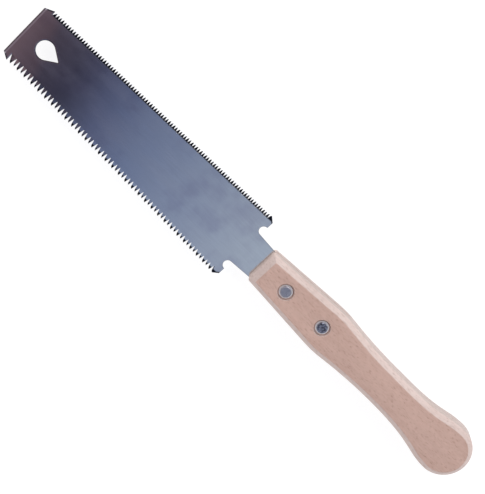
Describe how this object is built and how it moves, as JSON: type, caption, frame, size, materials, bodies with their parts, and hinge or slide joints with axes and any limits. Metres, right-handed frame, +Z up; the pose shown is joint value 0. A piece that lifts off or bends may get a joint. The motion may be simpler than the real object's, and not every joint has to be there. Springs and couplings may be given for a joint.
{
  "type": "japanese pull saw",
  "caption": "Double-edged Japanese pull saw: thin steel blade with fine and coarse tooth rows, teardrop hanging hole, and a bevelled beech handle fixed by rivets.",
  "frame": {"origin": "under the middle of the saw's length and width, on the plane of the handle's underside", "axes": "the saw lies flat: +X runs from the butt of the handle to the tip of the blade, +Y is the coarse-tooth side, +Z is up"},
  "size_m": [0.3106, 0.0418, 0.014],
  "materials": {
    "blade_steel": "semi-gloss tempered sheet steel",
    "beech": "sanded beech with a thin clear finish",
    "rivet_steel": "flat set steel rivet",
    "washer_steel": "bright zinc-plated steel washer"
  },
  "bodies": {
    "root": {"blade": "blade_steel", "handle": "beech", "front_rivet": "rivet_steel", "rear_rivet": "rivet_steel", "front_upper_washer": "washer_steel", "front_lower_washer": "washer_steel", "rear_upper_washer": "washer_steel", "rear_lower_washer": "washer_steel"}
  },
  "joints": []
}
